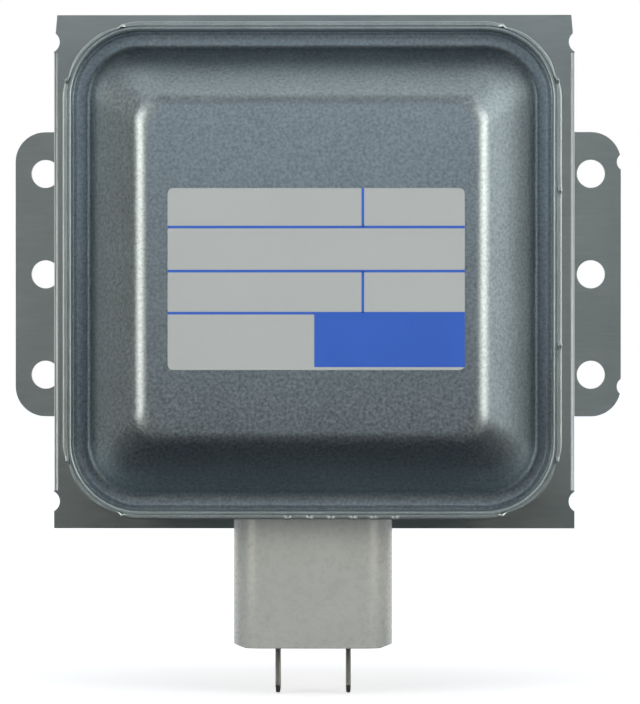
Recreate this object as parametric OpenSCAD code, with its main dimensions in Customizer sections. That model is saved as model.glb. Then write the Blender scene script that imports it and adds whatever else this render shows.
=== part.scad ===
// Microwave-oven magnetron: the tube, its magnets and yoke, the cooling fins and the filter box.
// The antenna points along +Y, the filter box is towards -Y and the terminals point along -Z.
// The origin is on the antenna's axis, at the outer face of the mounting plate.

/* [Mounting plate] */
// Thickness of the mounting plate
mount_t = 1.6; // [1.2:0.1:2.4]
// Width over the two ears
mount_span = 105.4; // [103.6:0.2:112]
// Height of each ear
ear_h = 49.5; // [46:0.5:52]
// Radius of the ears' corners
ear_r = 5.2; // [3:0.1:8]
// Diameter of the screw holes in the ears
screw_hole_d = 4.9; // [4.2:0.1:5.4]
// Distance from the middle of the screw holes to the ears' ends
screw_edge = 5.2; // [4.4:0.1:6]
// Spacing of the outer screw holes along one ear
screw_pitch_z = 35; // [28:0.5:38]
// Radius of the two nicks in the edge of the right ear
nick_r = 1.6; // [0.9:0.1:2]
// Depth of the two nicks
nick_depth = 0.7; // [0.2:0.1:0.8]

/* [Yoke] */
// Width over the yoke's two walls
yoke_w = 85; // [82:0.5:88]
// Length of the yoke's plate, across its open sides
yoke_d = 83.8; // [82:0.2:90]
// Sheet thickness of the yoke
yoke_t = 1.6; // [1.2:0.1:2]
// Inside radius of the yoke's bends
yoke_bend_r = 0.4; // [0.2:0.1:2]
// Outside radius of the yoke's bends, which the press has set sharp
yoke_edge_r = 0.7; // [0.6:0.1:3]
// Narrowing of the plate at each side of its upper end
plate_taper = 0.55; // [0:0.05:0.6]
// Distance from the plate's ends to the middle of the relief notches
relief_inset = 4.4; // [3.6:0.1:5.2]
// Radius of the relief notches
relief_r = 1.8; // [1.2:0.1:2.4]
// Depth of the relief notches
relief_depth = 0.95; // [0.4:0.05:1.1]
// Width of the tongues that hold the mounting plate
tongue_w = 8; // [5:0.5:8.5]

/* [Magnets] */
// Outside diameter of the ring magnets
magnet_d = 54; // [50:0.5:56]
// Bore of the ring magnets
magnet_bore = 22; // [21:0.2:26]
// Thickness of each ring magnet
magnet_t = 12.5; // [10:0.5:15]

/* [Cooling fins] */
// Sheet thickness of the fins
fin_t = 0.6; // [0.4:0.1:0.8]
// Length of the fins along the air's way
fin_d = 62; // [50:1:70]
// Height of the collar that grips the anode
fin_collar_h = 2.4; // [1.5:0.1:2.8]
// Height of the bent ends that touch the yoke
fin_end_h = 3.2; // [2:0.1:5]
// Run of the slanted part of each wing
fin_slant = 6; // [4:0.5:7]

/* [Anode] */
// Outside diameter of the anode shell
anode_d = 41; // [39:0.5:44]
// Wall of the anode shell
anode_wall = 2; // [1.6:0.1:2.6]
// Height of the anode shell
anode_h = 25.8; // [25:0.2:30]
// Thickness of each vane
vane_t = 1.9; // [1.4:0.1:2.2]
// Height of each vane
vane_h = 9.5; // [8:0.5:10.5]
// Radius that the vane tips leave free for the cathode
vane_tip_r = 4.6; // [4.3:0.1:5.2]
// Middle radius of the inner strap rings
strap_r = 7; // [6.6:0.1:7.4]
// Width of a strap ring's section
strap_w = 0.8; // [0.6:0.05:0.9]
// Height of a strap ring's section
strap_h = 1.3; // [1:0.1:1.6]
// Thickness of the pole pieces
pole_t = 1.6; // [1.2:0.1:2]
// Bore of the pole pieces
pole_bore = 9.4; // [8.8:0.1:10]
// Gap between a pole piece and the vanes
pole_gap = 1.75; // [1.5:0.05:2.2]

/* [Seals and output] */
// Sheet thickness of the two metal sleeves
seal_t = 0.5; // [0.4:0.05:0.7]
// Outside diameter of the sleeves' necks
neck_d = 20; // [19.4:0.1:20.4]
// Height of the output neck above the mounting face
neck_rise = 7.5; // [6.5:0.5:12]
// Diameter of the output ceramic
out_ceramic_d = 16.4; // [15.6:0.1:17.4]
// Wall of the output ceramic
out_ceramic_wall = 2.4; // [1.6:0.1:2.8]
// Height of the output ceramic
out_ceramic_h = 10; // [8:0.5:14]
// Diameter of the antenna cap
cap_d = 15.6; // [14.6:0.1:15.6]
// Height of the antenna cap
cap_h = 10.4; // [9.8:0.1:14]
// Sheet thickness of the antenna cap
cap_t = 0.4; // [0.3:0.05:0.6]
// Diameter of the antenna rod
antenna_d = 2.4; // [1.8:0.1:2.6]
// Outside diameter of the mesh gasket
gasket_d = 33; // [28:0.5:38]
// Thickness of the mesh gasket
gasket_h = 5; // [3.5:0.1:6]

/* [Cathode] */
// Diameter of the stem ceramic
stem_d = 15; // [13:0.5:17]
// Length of the stem ceramic
stem_h = 19; // [16:0.5:22]
// Diameter of the two cathode leads
lead_d = 1.4; // [1:0.1:1.6]
// Diameter of the filament wire
filament_wire_d = 0.6; // [0.4:0.05:0.7]
// Turns of the filament
filament_turns = 8; // [6:1:10]
// Thickness of the end hats
hat_t = 1.1; // [0.8:0.05:1.3]

/* [Filter box] */
// Width of the filter box
box_w = 78.9; // [77:0.1:81]
// Length of the filter box towards its terminals
box_d = 78.7; // [77:0.1:81]
// Depth of the filter box
box_h = 25.6; // [25:0.2:30]
// Sheet thickness of the filter box
box_t = 0.7; // [0.5:0.05:0.9]
// Outside radius of the box's upright corners
box_r = 12.2; // [10:0.1:14]
// Inside radius where the box's wall meets its floor
box_floor_r = 0.9; // [0.6:0.1:1.5]
// Diameter of the rivets' shanks
rivet_d = 3; // [2.4:0.1:3.6]
// Spacing of the rivets
rivet_pitch = 51; // [49:0.5:54]

/* [Lid] */
// Sheet thickness of the lid
lid_t = 0.6; // [0.4:0.05:0.8]
// Depth of the groove below the box's rim
groove_h = 4.2; // [2:0.1:4.4]
// Width of the groove inside the lid's lip
groove_w = 3.1; // [2.6:0.1:4]
// Height of the lid's raised top above the groove
dome_h = 8.7; // [5:0.1:10]
// Width of the raised top, over its edges
dome_w = 54; // [52:0.1:57]
// Corner radius of the raised top
dome_r = 4.6; // [3:0.1:8]
// Radius of the raised top's rounded edge
dome_edge_r = 3.5; // [1.5:0.1:5]

/* [Label] */
// Width of the label
label_w = 46.7; // [40:0.1:47]
// Height of the label
label_h = 28.6; // [20:0.1:40]
// Shift of the label to the right of the lid's middle
label_right = 0.7; // [0:0.1:0.7]
// Shift of the label towards the terminals
label_down = 1.4; // [0:0.1:3]
// Corner radius of the label
label_r = 0.9; // [0.3:0.1:2]
// Thickness of the label
label_t = 0.12; // [0.1:0.01:0.2]

/* [Terminals] */
// Width of the connector housing
housing_w = 25.4; // [25:0.1:27]
// Thickness of the connector housing
housing_t = 17; // [16:0.1:17.2]
// Reach of the connector housing from the box's wall
housing_reach = 20.9; // [18:0.1:26]
// Radius of the housing's long edges
housing_r = 5; // [3:0.1:5]
// Run of the bevels along the end of the housing
housing_bevel_w = 2; // [0.4:0.1:3]
// Rise of the bevels along the sides of the housing
housing_bevel_h = 0.6; // [0.2:0.1:1.2]
// Spacing of the two tab terminals
tab_pitch = 11.3; // [11:0.1:12.4]
// Width of a tab terminal
tab_w = 6.3; // [4.8:0.1:6.5]
// Thickness of a tab terminal
tab_t = 0.8; // [0.5:0.1:1]
// Length of a tab outside the housing
tab_reach = 7.5; // [6:0.1:9]
// Diameter of the conductors through the capacitor
conductor_d = 2; // [1.6:0.1:2.2]

/* [Chokes] */
// Diameter of the choke wire
choke_wire_d = 1.4; // [1:0.1:1.6]
// Diameter of the ferrite cores
core_d = 6.2; // [5:0.1:6.6]
// Length of the wound part of each choke
choke_len = 24; // [18:0.5:26]
// Turns of each choke
choke_turns = 10; // [6:1:10]
// Distance of each choke from the stem's axis
choke_x = 17; // [16:0.1:19]

/* [Hidden] */
$fn = 64;
fin_count = 6;
vane_count = 10;
wire_sides = 8;
turn_steps = 12;

// Clearances
free_fit = 0.4;
case_fit = 0.15;
press_fit = 0.02;
turn_fit = 0.1;

// Heights along the antenna's axis, with the mounting face at zero
mount_under = -mount_t;
anode_top = mount_under - magnet_t - seal_t;
anode_mid = anode_top - anode_h / 2;
anode_end = anode_top - anode_h;
yoke_top = anode_end - seal_t - magnet_t;
yoke_under = yoke_top - yoke_t;
box_floor = yoke_under - box_t;
rim = yoke_under - box_h;
groove_face = rim + groove_h;
dome_face = groove_face - dome_h;
filter_mid = (box_floor + groove_face + lid_t) / 2;

// Yoke and mounting plate
screw_pitch_x = mount_span - 2 * screw_edge;
yoke_inner_w = yoke_w - 2 * yoke_t;
wall_d = yoke_d - 2 * (relief_inset + relief_r);
tongue_y = (ear_h + wall_d) / 4;
throat_r = neck_d / 2 + free_fit;
plate_corner_r = 1.5;

// Fins: flat round the anode, then spread over the yoke's whole window
fin_pitch = anode_h / fin_count;
wing_pitch = (mount_under - yoke_top) / (fin_count + 1);
fin_magnet_gap = 1;
fin_flat_x = magnet_d / 2 + fin_magnet_gap;
fin_wing_x = fin_flat_x + fin_slant;
fin_bore_r = anode_d / 2 + press_fit;
fin_mid = anode_mid - fin_collar_h / 2;

// Anode and pole pieces
cavity_r = anode_d / 2 - anode_wall;
vane_top = anode_mid + vane_h / 2;
strap_gap = strap_w;
outer_strap_r = strap_r + strap_w + strap_gap;
strap_split_r = (strap_r + outer_strap_r) / 2;
pole_rim_r = anode_d / 2 - anode_wall / 2;
pole_step = 1;
pole_nose_w = 2.8;
pole_flat_r = neck_d / 2 + pole_step;
pole_nose_r = pole_bore / 2 + pole_nose_w;
pole_drop = (anode_top - pole_t) - (vane_top + pole_gap);
pole_slope = atan2(pole_drop, pole_flat_r - pole_nose_r);
pole_shift = pole_t * tan(pole_slope / 2);

// Output side
collar_h = 1.6;
out_ceramic_z = neck_rise + collar_h;
exhaust_z = out_ceramic_z + out_ceramic_h;
exhaust_flange_t = 0.8;
exhaust_r = 5;
exhaust_wall = 0.6;
exhaust_h = 5.4;
pinch_z = exhaust_z + exhaust_h;
pinch_h = 2.5;
pinch_w = 12;
pinch_t = 1.2;
pinch_edge_h = 0.6;
pinch_root_h = 0.2;
cap_z = exhaust_z + exhaust_flange_t;
cap_edge_r = 1.5;
antenna_strap_gap = 1.3;
antenna_root_r = outer_strap_r + strap_w / 2 + antenna_d / 2 + antenna_strap_gap;
antenna_hole_gap = 1;
antenna_foot = 2.2;
antenna_rise = 17.8;
antenna_slant = [
    [antenna_root_r, vane_top + antenna_foot],
    [0, vane_top + antenna_rise]
];
antenna_line = concat([[antenna_root_r, vane_top]], antenna_slant, [[0, pinch_z]]);
antenna_bend_r = 3;

// Cathode side
sleeve_tail = 1.3;
in_step = box_floor - sleeve_tail;
stem_top = in_step - collar_h;
stem_end = stem_top - stem_h;
stem_plate_t = 0.5;
stem_plate_inset = 1;
stem_plate_r = stem_d / 2 - stem_plate_inset;
stem_plate_gap = 2;
lead_tail = 0.6;
filament_over = 0.3;
filament_h = vane_h + 2 * filament_over;
filament_top = anode_mid + filament_h / 2;
filament_end = anode_mid - filament_h / 2;
filament_gap = 0.95;
filament_r = lead_d / 2 + filament_gap + filament_wire_d / 2;
hat_gap = 0.9;
hat_r = vane_tip_r - hat_gap;
hat_boss_r = filament_r * cos(180 / turn_steps) - filament_wire_d / 2 - press_fit;
hat_boss_h = 1;
lead_x = hat_r - lead_d / 2 - turn_fit;
lead_bend_rise = 5;
lead_set_rise = 1;
lead_bend_z = yoke_top + lead_bend_rise;
lead_set_z = yoke_under + lead_set_rise;
lead_end = stem_end - stem_plate_t - lead_tail;
lead_bend_r = 3;
centre_lead_line = [
    [0, filament_top + hat_t],
    [0, lead_bend_z],
    [-lead_x, lead_set_z],
    [-lead_x, lead_end]
];

// Lid: middle line of its sheet, from the lip's edge inwards to the flat top
lip_w = box_w - 2 * (box_t + press_fit);
lip_d = box_d - 2 * (box_t + press_fit);
lip_r = box_r - box_t - press_fit;
lip_bend_r = 0.45;
groove_bend_r = 0.8;
base_inset = lid_t + groove_w;
dome_inset = (lip_w - dome_w) / 2;
flat_inset = dome_inset + dome_edge_r;
lid_line = [
    [lid_t / 2, groove_h - lid_t / 2],
    [lid_t / 2, 0],
    [base_inset, 0],
    [dome_inset, dome_h],
    [flat_inset, dome_h]
];
lid_bends = [lip_bend_r, groove_bend_r, dome_edge_r];
bend_steps = 5;
corner_steps = 8;

// Terminals and feed-through capacitor
wall_in = box_d / 2 - box_t;
housing_end = box_d / 2 + housing_reach;
cap_plate_t = 1;
cap_plate_margin = 3;
cap_plate_w = housing_w + 2 * cap_plate_margin;
cap_plate_h = box_floor - groove_face - lid_t - 2 * (box_floor_r + turn_fit);
housing_wall = 2.5;
inner_case_step = 1.6;
oval_flat = 0.2;
dielectric_w = housing_w - 2 * housing_wall;
dielectric_t = housing_t - 2 * housing_wall;
dielectric_r = (dielectric_t - oval_flat) / 2;
dielectric_h = 8;
inner_case_w = dielectric_w - 2 * inner_case_step;
inner_case_t = dielectric_t - 2 * inner_case_step;
inner_case_r = (inner_case_t - oval_flat) / 2;
inner_case_h = 11;
conductor_tail = 3;
conductor_end = wall_in - inner_case_h - conductor_tail;
tab_seat = 2;
tab_weld = 1;
tab_root = wall_in + dielectric_h + tab_seat;
tab_tip = housing_end + tab_reach;
tab_chamfer = 1.3;

// Chokes: a lead from the stem's plate, the turns, and a lead to the capacitor's conductor
choke_r = (core_d / 2 + turn_fit + choke_wire_d / 2) / cos(180 / turn_steps);
choke_in_x = choke_x - choke_r;
stem_lead_z = stem_end - stem_plate_t - choke_wire_d / 2;
stem_lead_x = lead_x + (lead_d + choke_wire_d) / 2 + turn_fit;
weld_x = tab_pitch / 2 + (conductor_d + choke_wire_d) / 2 + press_fit;
choke_route = concat(
    [
        [stem_lead_x, 1, stem_lead_z],
        [stem_lead_x, -5, stem_lead_z],
        [(stem_lead_x + choke_in_x) / 2, -choke_len / 2 + 2, stem_lead_z + 0.6],
        [choke_in_x - 0.6, -choke_len / 2 - 0.4, stem_lead_z + 3.4],
        [choke_in_x, -choke_len / 2 - 0.4, filter_mid - 3.4]
    ],
    [
        for (k = [0 : choke_turns * turn_steps])
        [
            choke_x - choke_r * cos(360 * k / turn_steps),
            choke_len * (k / (choke_turns * turn_steps) - 0.5),
            filter_mid + choke_r * sin(360 * k / turn_steps)
        ]
    ],
    [
        [choke_in_x - 0.3, choke_len / 2 + 1.6, filter_mid + 2.4],
        [choke_in_x - 2, choke_len / 2 + 5, filter_mid + 2.6],
        [weld_x, (choke_len / 2 + conductor_end) / 2 + 3, filter_mid + 0.8],
        [weld_x, conductor_end + 0.2, filter_mid],
        [weld_x, conductor_end + 2.8, filter_mid]
    ]
);
filament_rise = filament_h - filament_wire_d - 2 * press_fit;
filament_route = [
    for (k = [0 : filament_turns * turn_steps])
    [
        filament_r * cos(360 * k / turn_steps),
        filament_r * sin(360 * k / turn_steps),
        anode_mid + filament_rise * (k / (filament_turns * turn_steps) - 0.5)
    ]
];

function two_digits(i) = str(i < 10 ? "0" : "", i);
function vane_name(i) = str("anode_vane_", two_digits(i));
function fin_name(i) = str("cooling_fin_", i);

// Points and vectors
function unit(v) = v / norm(v);
function mix(a, b, f) = a + (b - a) * f;
function left_of(v) = [-v.y, v.x];

// A bend of a flat line at point b, as pairs of a point and the normal on its left
function bend(a, b, c, r, steps) =
    let (
        back = unit(a - b),
        ahead = unit(c - b),
        half = acos(back * ahead) / 2,
        middle = b + unit(back + ahead) * r / sin(half),
        first = b + back * r / tan(half) - middle,
        last = b + ahead * r / tan(half) - middle,
        start = atan2(first.y, first.x),
        sweep = (atan2(last.y, last.x) - start + 900) % 360 - 180
    )
    [
        for (k = [0 : steps])
        let (
            angle = start + sweep * k / steps,
            spoke = [cos(angle), sin(angle)]
        )
        [middle + r * spoke, spoke * -sign(sweep)]
    ];

// A whole line with its bends, as pairs of a point and a normal
function bent_line(line, bends, steps) = concat(
    [[line[0], left_of(unit(line[1] - line[0]))]],
    [
        for (k = [0 : len(bends) - 1])
        each bend(line[k], line[k + 1], line[k + 2], bends[k], steps)
    ],
    [[line[len(line) - 1], left_of(unit(line[len(line) - 1] - line[len(line) - 2]))]]
);

// A rounded rectangle of points at one height
function rounded_ring(w, d, r, z) = [
    for (q = [0 : 3], k = [0 : corner_steps])
    let (
        angle = 90 * q + 90 * k / corner_steps,
        sx = q == 0 || q == 3 ? 1 : -1,
        sy = q < 2 ? 1 : -1
    )
    [sx * (w / 2 - r) + r * cos(angle), sy * (d / 2 - r) + r * sin(angle), z]
];

// The corner radius of the lid at a distance in from its lip
function lid_corner_r(inset) =
    inset < base_inset
        ? lip_r - inset
        : mix(
            lip_r - base_inset,
            dome_r,
            min(1, (inset - base_inset) / (dome_inset - base_inset))
        );

// One ring of the lid's surface, at a distance in from the lip and a height out of the groove
function lid_ring(inset, height) = rounded_ring(
    lip_w - 2 * inset,
    lip_d - 2 * inset,
    lid_corner_r(inset),
    groove_face + lid_t / 2 - height
);

// A point of the plane of x and z
function upright(p) = [p.x, 0, p.y];

// Directions along a route, and normals that turn with it as little as they can
function route_directions(route) = [
    for (i = [0 : len(route) - 1])
    unit(route[min(i + 1, len(route) - 1)] - route[max(i - 1, 0)])
];
function carried_normals(directions, normal, i = 0) =
    i == len(directions)
        ? []
        : let (n = unit(normal - (normal * directions[i]) * directions[i]))
            concat([n], carried_normals(directions, n, i + 1));

// Closed surface through a list of rings that all have the same number of points
module skin(rings) {
    n = len(rings[0]);
    last = len(rings) - 1;
    polyhedron(
        points = [for (ring = rings) each ring],
        faces = concat(
            [[for (k = [0 : n - 1]) k]],
            [
                for (i = [0 : last - 1], k = [0 : n - 1])
                let (
                    a = i * n + k,
                    b = i * n + (k + 1) % n
                )
                each [[b, a, a + n], [b, a + n, b + n]]
            ],
            [[for (k = [n - 1 : -1 : 0]) last * n + k]]
        ),
        convexity = 8
    );
}

// Round wire along a route
module wire(route, d, first_normal) {
    directions = route_directions(route);
    normals = carried_normals(directions, first_normal);
    skin([
        for (i = [0 : len(route) - 1])
        let (across = cross(directions[i], normals[i]))
        [
            for (k = [0 : wire_sides - 1])
            let (angle = 360 * (k + 0.5) / wire_sides)
            route[i] + d / 2 * (normals[i] * cos(angle) + across * sin(angle))
        ]
    ]);
}

// Turns the tube's upright axis to lie along +Y, with its +y side towards -Z
module laid() {
    rotate([-90, 0, 0]) children();
}

module at_corners(pitch_x, pitch_y) {
    for (sx = [-1, 1], sy = [-1, 1]) {
        translate([sx * pitch_x / 2, sy * pitch_y / 2, 0]) children();
    }
}

module rounded_rect(w, d, r) {
    square([w - 2 * r, d], center = true);
    square([w, d - 2 * r], center = true);
    at_corners(w - 2 * r, d - 2 * r) circle(r = r);
}

// Ring about the tube's axis between two heights
module ring(outer_r, inner_r, z0, z1) {
    translate([0, 0, z0]) {
        linear_extrude(z1 - z0) {
            difference() {
                circle(r = outer_r);
                circle(r = inner_r);
            }
        }
    }
}

// Round bar between two points
module bar(a, b, r) {
    d = b - a;
    translate(a) rotate([0, acos(d.z / norm(d)), atan2(d.y, d.x)]) cylinder(h = norm(d), r = r);
}

// Round rod that follows a flat line with rounded bends, in the plane of x and z
module bent_rod(line, bend_r, d) {
    bends = [for (k = [3 : len(line)]) bend_r];
    wire([for (p = bent_line(line, bends, bend_steps)) upright(p[0])], d, [0, 1, 0]);
}

// Prism whose outline lies across the filter box's terminal wall, between two distances from the axis
module wall_prism(y0, y1) {
    translate([0, y1, filter_mid]) rotate([90, 0, 0]) linear_extrude(y1 - y0) children();
}

module mount_outline() {
    rounded_rect(yoke_w, yoke_d, plate_corner_r);
    rounded_rect(mount_span, ear_h, ear_r);
}

module screw_holes() {
    for (row = [-1 : 1], side = [-1, 1]) {
        translate([side * screw_pitch_x / 2, row * screw_pitch_z / 2]) circle(d = screw_hole_d);
    }
}

module ear_nicks() {
    for (side = [-1, 1]) {
        translate([mount_span / 2 + nick_r - nick_depth, side * (ear_h / 2 - ear_r)]) circle(r = nick_r);
    }
}

// Places of the yoke's tongues, as seen along the axis
module tongues(fit) {
    for (side = [-1, 1], end = [-1, 1]) {
        translate([side * (yoke_w - yoke_t) / 2, end * tongue_y]) {
            square([yoke_t + 2 * fit, tongue_w + 2 * fit], center = true);
        }
    }
}

module mount_plate() {
    color("#697274") laid() translate([0, 0, mount_under]) {
        linear_extrude(mount_t) {
            difference() {
                mount_outline();
                screw_holes();
                ear_nicks();
                tongues(turn_fit);
                circle(r = throat_r);
            }
        }
    }
}

// Trough whose lower edges are rounded, from a floor height up to a top height
module trough(w, floor_z, top_z, r) {
    translate([-w / 2, floor_z + r]) square([w, top_z - floor_z - r]);
    translate([-w / 2 + r, floor_z]) square([w - 2 * r, top_z - floor_z]);
    for (side = [-1, 1]) translate([side * (w / 2 - r), floor_z + r]) circle(r = r);
}

// End of the yoke's plate beyond the walls
module plate_end(end, taper) {
    polygon([
        [-yoke_w / 2, end * wall_d / 2],
        [yoke_w / 2, end * wall_d / 2],
        [yoke_w / 2 - taper, end * yoke_d / 2],
        [taper - yoke_w / 2, end * yoke_d / 2]
    ]);
}

module yoke_frame() {
    color("#6f7676") laid() difference() {
        union() {
            rotate([90, 0, 0]) linear_extrude(wall_d, center = true) {
                difference() {
                    trough(yoke_w, yoke_under, mount_under, yoke_edge_r);
                    trough(yoke_inner_w, yoke_top, mount_under + 1, yoke_bend_r);
                }
            }
            translate([0, 0, yoke_under]) linear_extrude(yoke_t) {
                plate_end(-1, plate_taper);
                plate_end(1, 0);
            }
            translate([0, 0, mount_under]) linear_extrude(mount_t) tongues(0);
        }
        at_corners(yoke_w + 2 * (relief_r - relief_depth), yoke_d - 2 * relief_inset) {
            translate([0, 0, yoke_under - 1]) cylinder(h = yoke_t + 2, r = relief_r);
        }
        at_corners(rivet_pitch, rivet_pitch) {
            translate([0, 0, yoke_under - 1]) cylinder(h = yoke_t + 2, d = rivet_d + 2 * press_fit);
        }
        translate([0, 0, yoke_under - 1]) cylinder(h = yoke_t + 2, r = throat_r);
    }
}

module ring_magnet(z0) {
    color("#3b3c3f") laid() ring(magnet_d / 2, magnet_bore / 2, z0, z0 + magnet_t);
}

module cooling_fin(i) {
    place = i - (fin_count + 1) / 2;
    flat_z = fin_mid + place * fin_pitch;
    wing_z = anode_mid + place * wing_pitch;
    end_x = yoke_inner_w / 2;
    half_line = [[fin_flat_x, flat_z], [fin_wing_x, wing_z], [end_x, wing_z]];
    line = concat([for (k = [2 : -1 : 0]) [-half_line[k].x, half_line[k].y]], half_line);
    half = [0, fin_t / 2];
    color("#c3c6c8") laid() {
        difference() {
            union() {
                rotate([90, 0, 0]) linear_extrude(fin_d, center = true) {
                    polygon(concat(
                        [for (p = line) p + half],
                        [for (k = [len(line) - 1 : -1 : 0]) line[k] - half]
                    ));
                    for (side = [-1, 1]) {
                        translate([side * (end_x - fin_t / 2) - fin_t / 2, wing_z]) {
                            square([fin_t, fin_end_h]);
                        }
                    }
                }
                translate([0, 0, flat_z]) cylinder(h = fin_t / 2 + fin_collar_h, r = fin_bore_r + fin_t);
            }
            translate([0, 0, flat_z - fin_pitch / 2]) {
                cylinder(h = fin_pitch + fin_collar_h, r = fin_bore_r);
            }
        }
    }
}

module anode_shell() {
    color("#b8764c") laid() difference() {
        translate([0, 0, anode_end]) cylinder(h = anode_h, d = anode_d);
        translate([0, 0, anode_end - 1]) cylinder(h = anode_h + 2, r = cavity_r);
        translate([0, 0, anode_top - pole_t]) cylinder(h = pole_t + 1, r = pole_rim_r);
        translate([0, 0, anode_end - 1]) cylinder(h = pole_t + 1, r = pole_rim_r);
    }
}

// Room for the strap rings in one edge of a vane, deeper where a ring passes free
module strap_notch(inner_seated) {
    reach = strap_w / 2 + strap_gap / 2;
    free_h = strap_h + strap_gap;
    inner_h = inner_seated ? strap_h : free_h;
    outer_h = inner_seated ? free_h : strap_h;
    translate([strap_r - reach, -vane_t, -inner_h]) cube([2 * reach, 2 * vane_t, inner_h + 1]);
    translate([strap_split_r, -vane_t, -outer_h]) cube([2 * reach, 2 * vane_t, outer_h + 1]);
}

module anode_vane(i) {
    even = i % 2 == 0;
    color("#c07f54") laid() rotate([0, 0, (i - 1) * 360 / vane_count]) difference() {
        intersection() {
            translate([vane_tip_r, -vane_t / 2, vane_top - vane_h]) cube([cavity_r, vane_t, vane_h]);
            translate([0, 0, vane_top - vane_h]) cylinder(h = vane_h, r = cavity_r);
        }
        translate([0, 0, vane_top]) strap_notch(even);
        translate([0, 0, vane_top - vane_h]) mirror([0, 0, 1]) strap_notch(!even);
    }
}

module strap_ring(middle_r, z0) {
    color("#c88a5f") laid() ring(middle_r + strap_w / 2, middle_r - strap_w / 2, z0, z0 + strap_h);
}

// Dished iron pole piece, in its place at the output end
module pole_dish() {
    nose = vane_top + pole_gap;
    rim_under = anode_top - pole_t;
    rotate_extrude() polygon([
        [pole_bore / 2, nose],
        [pole_nose_r, nose],
        [pole_flat_r, rim_under],
        [pole_rim_r, rim_under],
        [pole_rim_r, anode_top],
        [pole_flat_r - pole_shift, anode_top],
        [pole_nose_r - pole_shift, nose + pole_t],
        [pole_bore / 2, nose + pole_t]
    ]);
}

// Mirrors a piece from the output end of the anode to its input end
module at_input_end() {
    translate([0, 0, 2 * anode_mid]) mirror([0, 0, 1]) children();
}

module output_pole_piece() {
    color("#7d7f80") laid() difference() {
        pole_dish();
        bar(upright(antenna_slant[0]), upright(antenna_slant[1]), antenna_d / 2 + antenna_hole_gap);
    }
}

module input_pole_piece() {
    color("#7d7f80") laid() at_input_end() pole_dish();
}

// Flanged sleeve of sheet metal, from the anode's output end up to a ceramic
module seal_sleeve(ceramic_r, step_z) {
    neck_r = neck_d / 2;
    rotate_extrude() polygon([
        [neck_r - seal_t, anode_top],
        [anode_d / 2, anode_top],
        [anode_d / 2, anode_top + seal_t],
        [neck_r, anode_top + seal_t],
        [neck_r, step_z],
        [ceramic_r, step_z],
        [ceramic_r, step_z + collar_h],
        [ceramic_r - seal_t, step_z + collar_h],
        [ceramic_r - seal_t, step_z - seal_t],
        [neck_r - seal_t, step_z - seal_t]
    ]);
}

module output_sleeve() {
    color("#9a9c9b") laid() seal_sleeve(out_ceramic_d / 2, neck_rise);
}

module input_sleeve() {
    color("#9a9c9b") laid() at_input_end() seal_sleeve(stem_d / 2, 2 * anode_mid - in_step);
}

module output_ceramic() {
    r = out_ceramic_d / 2;
    color("#f1eee8") laid() ring(r, r - out_ceramic_wall, out_ceramic_z, exhaust_z);
}

module exhaust_tube() {
    inner_r = exhaust_r - exhaust_wall;
    color("#b8764c") laid() {
        ring(out_ceramic_d / 2, inner_r, exhaust_z, cap_z);
        ring(exhaust_r, inner_r, exhaust_z, pinch_z);
        hull() {
            translate([0, 0, pinch_z]) cylinder(h = pinch_root_h, r = exhaust_r, $fn = 32);
            translate([-pinch_w / 2, -pinch_t / 2, pinch_z + pinch_h - pinch_edge_h]) {
                cube([pinch_w, pinch_t, pinch_edge_h]);
            }
        }
    }
}

module antenna_rod() {
    color("#b8764c") laid() bent_rod(antenna_line, antenna_bend_r, antenna_d);
}

// Half section of a cup that is open below, with a rounded upper edge
module cup_section(r, h, edge_r) {
    square([r, h - edge_r]);
    square([r - edge_r, h]);
    translate([r - edge_r, h - edge_r]) intersection() {
        circle(r = edge_r);
        square(edge_r);
    }
}

module antenna_cap() {
    color("#cfd0cf") laid() translate([0, 0, cap_z]) rotate_extrude() difference() {
        cup_section(cap_d / 2, cap_h, cap_edge_r);
        cup_section(cap_d / 2 - cap_t, cap_h - cap_t, cap_edge_r - cap_t);
    }
}

module rf_gasket() {
    inner_r = neck_d / 2 + press_fit;
    edge_r = gasket_h / 4;
    width = gasket_d / 2 - inner_r;
    color("#b5b6b4") laid() rotate_extrude() {
        translate([inner_r + width / 2, gasket_h / 2]) rounded_rect(width, gasket_h, edge_r);
    }
}

module cathode_stem() {
    color("#efe9df") laid() difference() {
        translate([0, 0, stem_end]) cylinder(h = stem_h, d = stem_d);
        for (side = [-1, 1]) {
            translate([side * lead_x, 0, stem_end - 1]) {
                cylinder(h = stem_h + 2, d = lead_d + 2 * press_fit);
            }
        }
    }
}

module stem_terminal(side) {
    color("#a9aaa6") laid() translate([0, 0, stem_end - stem_plate_t]) linear_extrude(stem_plate_t) {
        difference() {
            circle(r = stem_plate_r);
            translate([-side * stem_d + side * stem_plate_gap / 2, 0]) square(2 * stem_d, center = true);
            translate([side * lead_x, 0]) circle(d = lead_d + 2 * press_fit);
        }
    }
}

module centre_lead() {
    color("#8f8f8e") laid() bent_rod(centre_lead_line, lead_bend_r, lead_d);
}

module side_lead() {
    color("#8f8f8e") laid() translate([lead_x, 0, lead_end]) {
        cylinder(h = filament_end - hat_t - lead_end, d = lead_d);
    }
}

module filament() {
    color("#77736c") laid() wire(filament_route, filament_wire_d, [0, 0, 1]);
}

module upper_end_hat() {
    color("#8f8f8e") laid() difference() {
        union() {
            translate([0, 0, filament_top]) cylinder(h = hat_t, r = hat_r);
            translate([0, 0, filament_top - hat_boss_h]) cylinder(h = hat_boss_h, r = hat_boss_r);
        }
        translate([0, 0, filament_top - 2 * hat_boss_h]) {
            cylinder(h = 4 * hat_boss_h, d = lead_d + 2 * press_fit);
        }
    }
}

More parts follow.
